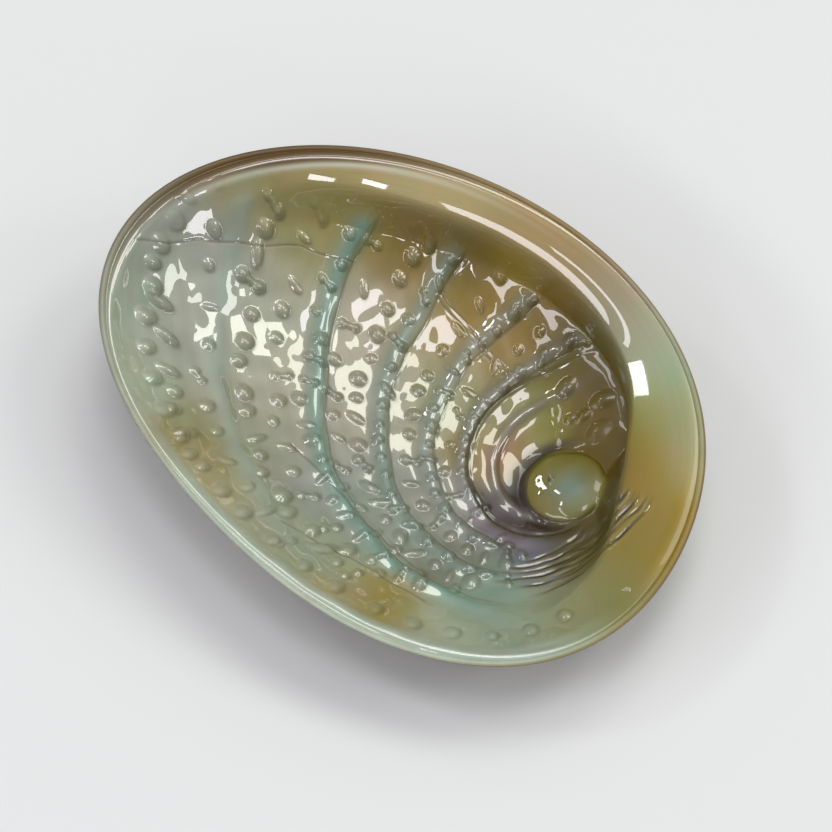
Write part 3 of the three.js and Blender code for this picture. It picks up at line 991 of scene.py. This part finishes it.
def nacre_material():
    """Painted colours with striae and faint clouds of green and rose, under a painted clear coat."""
    material, tree, shader = new_material(
        "nacre", Metallic=0.06, Roughness=0.36, IOR=1.5, Coat_Roughness=0.03, Coat_IOR=1.85)
    place = node(tree, "ShaderNodeTexCoord").outputs["Object"]
    striae = grain(tree, spiral_vector(tree, 5.0, 26.0), 1.0, 5.0, 0.65)
    colour = painted_layer(tree, "tint").outputs["Color"]
    colour = shaded(tree, colour, ranged(tree, striae, 0.3, 0.7, 0.96, 1.035))
    green = ranged(tree, grain(tree, place, 70.0, 3.0), 0.45, 0.7, 0.0, 1.0)
    colour = blended(tree, "MULTIPLY", green, colour, (0.90, 1.0, 0.95, 1))
    rose = ranged(tree, grain(tree, place, 45.0, 2.0), 0.55, 0.75, 0.0, 1.0)
    colour = blended(tree, "MULTIPLY", rose, colour, (1.0, 0.90, 0.91, 1))
    tree.links.new(colour, shader.inputs["Base Color"])
    tree.links.new(painted_layer(tree, "gloss").outputs["Fac"], shader.inputs["Coat Weight"])
    add_bump(tree, shader, striae, grain(tree, place, 900.0, 4.0), 0.25, 0.22, 0.0002)
    return material


def lip_material():
    """The thin rim edge: painted colours with brown layers."""
    material, tree, shader = new_material("rim_edge", Roughness=0.5, Coat_Weight=0.3, Coat_Roughness=0.25)
    place = node(tree, "ShaderNodeTexCoord").outputs["Object"]
    layers = ranged(tree, grain(tree, place, 160.0, 4.0), 0.35, 0.7, 0.0, 0.22)
    colour = painted_layer(tree, "tint").outputs["Color"]
    colour = blended(tree, "MIX", layers, colour, (*linear("4e4226"), 1))
    tree.links.new(colour, shader.inputs["Base Color"])
    return material


def crust_material():
    """The rough back: painted colours with striae and chalky specks."""
    material, tree, shader = new_material("back_crust", Coat_Weight=0.25, Coat_Roughness=0.2)
    place = node(tree, "ShaderNodeTexCoord").outputs["Object"]
    striae = grain(tree, spiral_vector(tree, 9.0, 34.0), 1.0, 6.0, 0.7)
    crust = grain(tree, place, 420.0, 6.0, 0.7)
    colour = painted_layer(tree, "tint").outputs["Color"]
    colour = shaded(tree, colour, ranged(tree, striae, 0.3, 0.7, 0.72, 1.18))
    chalk = ranged(tree, crust, 0.56, 0.72, 0.0, 0.5)
    colour = blended(tree, "MIX", chalk, colour, (*linear("b8ad94"), 1))
    tree.links.new(colour, shader.inputs["Base Color"])
    tree.links.new(ranged(tree, crust, 0.3, 0.7, 0.38, 0.66), shader.inputs["Roughness"])
    add_bump(tree, shader, striae, crust, 0.6, 0.6, 0.0006)
    return material


# -------------------- the piece

built = build_shell()
mesh = make_mesh("shell", built["points"], built["quads"], built["triangles"], built["groups"])
for material in (nacre_material(), lip_material(), crust_material()):
    mesh.materials.append(material)
opaque = np.ones((len(built["tint"]), 1))
add_layer(mesh, "tint", "FLOAT_COLOR", "color", np.concatenate([built["tint"], opaque], 1))
add_layer(mesh, "whorl", "FLOAT_VECTOR", "vector", built["whorl"])
add_layer(mesh, "gloss", "FLOAT", "value", built["gloss"])
shell = bpy.data.objects.new("shell", mesh)
bpy.context.scene.collection.objects.link(shell)
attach(shell, "root")
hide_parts("abalone_shell")


# -------------------- floor, light and camera

FLOOR_SIZE = 6.0
# Even light and a glow: its strength, its azimuth and elevation, and the cosine at which it starts
EVEN_LIGHT, GLOW, GLOW_FROM, GLOW_STARTS = 0.22, 0.40, (148, 62), 0.45

# Soft boxes, all aimed at the middle: name, azimuth, elevation, width, height, watts, colour
LAMP_DISTANCE = 2.0
PLAIN, COOL = (1.0, 1.0, 1.0), (0.97, 0.95, 1.0)
SOFTBOXES = (
    ("key", 190, 67, 0.80, 0.56, 6.8, (1.0, 1.0, 0.88)),
    ("left", 144, 54, 0.52, 0.46, 4.4, (1.0, 1.0, 0.90)),
    ("far left", 122, 36, 0.50, 0.44, 3.4, (1.0, 1.0, 0.93)),
    ("low left", 80, 25, 0.30, 0.18, 1.1, (0.97, 0.93, 1.0)),
    ("top", 45, 84, 0.56, 0.60, 5.8, (0.98, 0.95, 1.0)),
    ("strip", 341, 38, 1.50, 0.28, 6.6, COOL),
    ("thin strip", 322, 52, 0.90, 0.11, 1.6, COOL),
    ("window", 289.5, 53, 0.27, 0.17, 2.3, PLAIN),
    ("small", 262, 38, 0.12, 0.08, 0.45, PLAIN),
    ("front right", 31, 30, 0.20, 0.20, 1.0, COOL),
    ("front left", 19, 36.5, 0.13, 0.19, 0.75, COOL),
)

# The camera, and the point it aims at: a height over the origin, moved right and up in the view
CAMERA_AZIMUTH, CAMERA_ELEVATION, CAMERA_DISTANCE, CAMERA_LENS = 37.0, 61.0, 0.9, 173
AIM_HEIGHT, AIM_RIGHT, AIM_UP = 0.030, 0.003, -0.0076


def direction(azimuth, elevation):
    """A unit vector; azimuth 0 is the -Y side, where a camera at azimuth 0 stands."""
    a, e = math.radians(azimuth), math.radians(elevation)
    return Vector((math.sin(a) * math.cos(e), -math.cos(a) * math.cos(e), math.sin(e)))


def add_floor():
    bpy.ops.mesh.primitive_plane_add(size=FLOOR_SIZE, location=(0, 0, 0))
    floor = bpy.context.object
    floor.name = "floor"
    pale = (*linear("e6e8ea"), 1)
    material, _, _ = new_material("floor", Base_Color=pale, Roughness=0.9, Specular_IOR_Level=0.0)
    floor.data.materials.append(material)


def add_world():
    """Even light from all round, and a soft-edged glow from one side."""
    world = bpy.data.worlds.new("studio")
    world.use_nodes = True
    tree = world.node_tree
    place = node(tree, "ShaderNodeTexCoord").outputs["Generated"]
    facing = node(tree, "ShaderNodeVectorMath", operation="DOT_PRODUCT")
    facing.inputs[1].default_value = direction(*GLOW_FROM)
    tree.links.new(place, facing.inputs[0])
    strength = ranged(tree, facing.outputs["Value"], GLOW_STARTS, 1.0, EVEN_LIGHT, EVEN_LIGHT + GLOW,
                      interpolation_type="SMOOTHSTEP")
    background = tree.nodes["Background"]
    tree.links.new(strength, background.inputs["Strength"])
    background.inputs["Color"].default_value = (1, 1, 1, 1)
    bpy.context.scene.world = world


def add_aimed(name, data, place, target):
    """A lamp or a camera at a place, turned to a target."""
    holder = bpy.data.objects.new(name, data)
    holder.location = place
    holder.rotation_euler = (target - place).to_track_quat("-Z", "Y").to_euler()
    bpy.context.scene.collection.objects.link(holder)
    return holder


def add_softbox(name, azimuth, elevation, width, height, watts, colour):
    lamp = bpy.data.lights.new(name, "AREA")
    lamp.shape = "RECTANGLE"
    lamp.size, lamp.size_y = width, height
    lamp.energy = watts
    lamp.color = colour
    add_aimed(name, lamp, direction(azimuth, elevation) * LAMP_DISTANCE, Vector((0, 0, 0)))


def add_camera():
    camera = bpy.data.cameras.new("camera")
    camera.lens = CAMERA_LENS
    toward_camera = direction(CAMERA_AZIMUTH, CAMERA_ELEVATION)
    turn = math.radians(CAMERA_AZIMUTH)
    right = Vector((math.cos(turn), math.sin(turn), 0))
    up = right.cross(-toward_camera)
    aim = right * AIM_RIGHT + up * AIM_UP + Vector((0, 0, AIM_HEIGHT))
    place = aim + toward_camera * CAMERA_DISTANCE
    bpy.context.scene.camera = add_aimed("camera", camera, place, aim)


add_floor()
add_world()
for softbox in SOFTBOXES:
    add_softbox(*softbox)
add_camera()
bpy.context.scene.view_settings.view_transform = "Standard"
bpy.context.scene.view_settings.look = "None"
